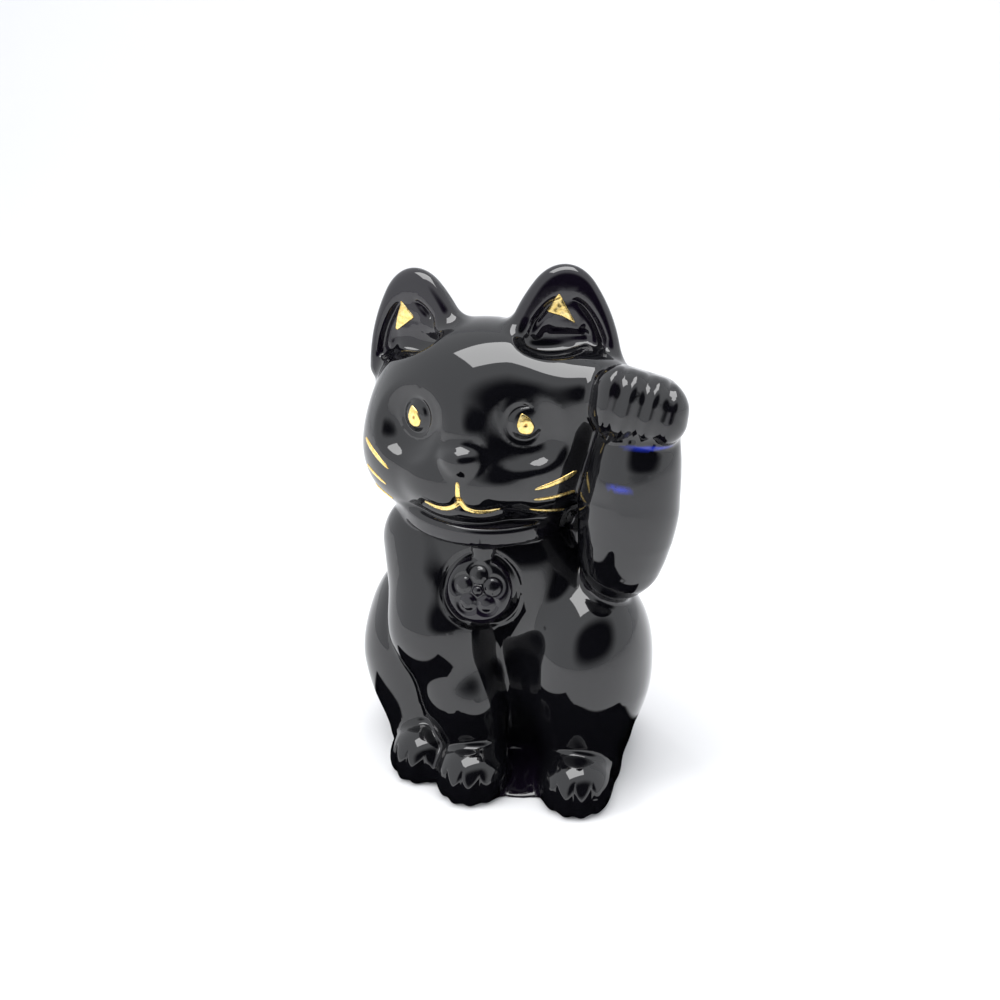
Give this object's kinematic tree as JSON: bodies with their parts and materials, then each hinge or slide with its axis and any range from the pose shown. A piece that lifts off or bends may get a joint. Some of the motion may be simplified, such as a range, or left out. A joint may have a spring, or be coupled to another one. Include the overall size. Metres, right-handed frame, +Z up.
{
  "type": "beckoning cat figurine",
  "caption": "Solid black crystal cat that sits upright with one front paw raised, with fired-on gold on ears, eyes, mouth and whiskers.",
  "frame": {"origin": "on the ground flat base, in the middle between the haunches", "axes": "+Z up, the cat looks towards -Y, its raised left paw is at +X"},
  "size_m": [0.0672, 0.0529, 0.1001],
  "materials": {
    "crystal": "near-black blue-violet crystal, pressed and fire polished",
    "gold": "fired-on gold, hand painted and burnished"
  },
  "bodies": {
    "root": {"crystal_body": "crystal", "ear_gold_right": "gold", "ear_gold_left": "gold", "eye_gold_right": "gold", "eye_gold_left": "gold", "mouth_gold": "gold", "whisker_gold_right_upper": "gold", "whisker_gold_right_middle": "gold", "whisker_gold_right_lower": "gold", "whisker_gold_left_upper": "gold", "whisker_gold_left_middle": "gold", "whisker_gold_left_lower": "gold"}
  },
  "joints": []
}
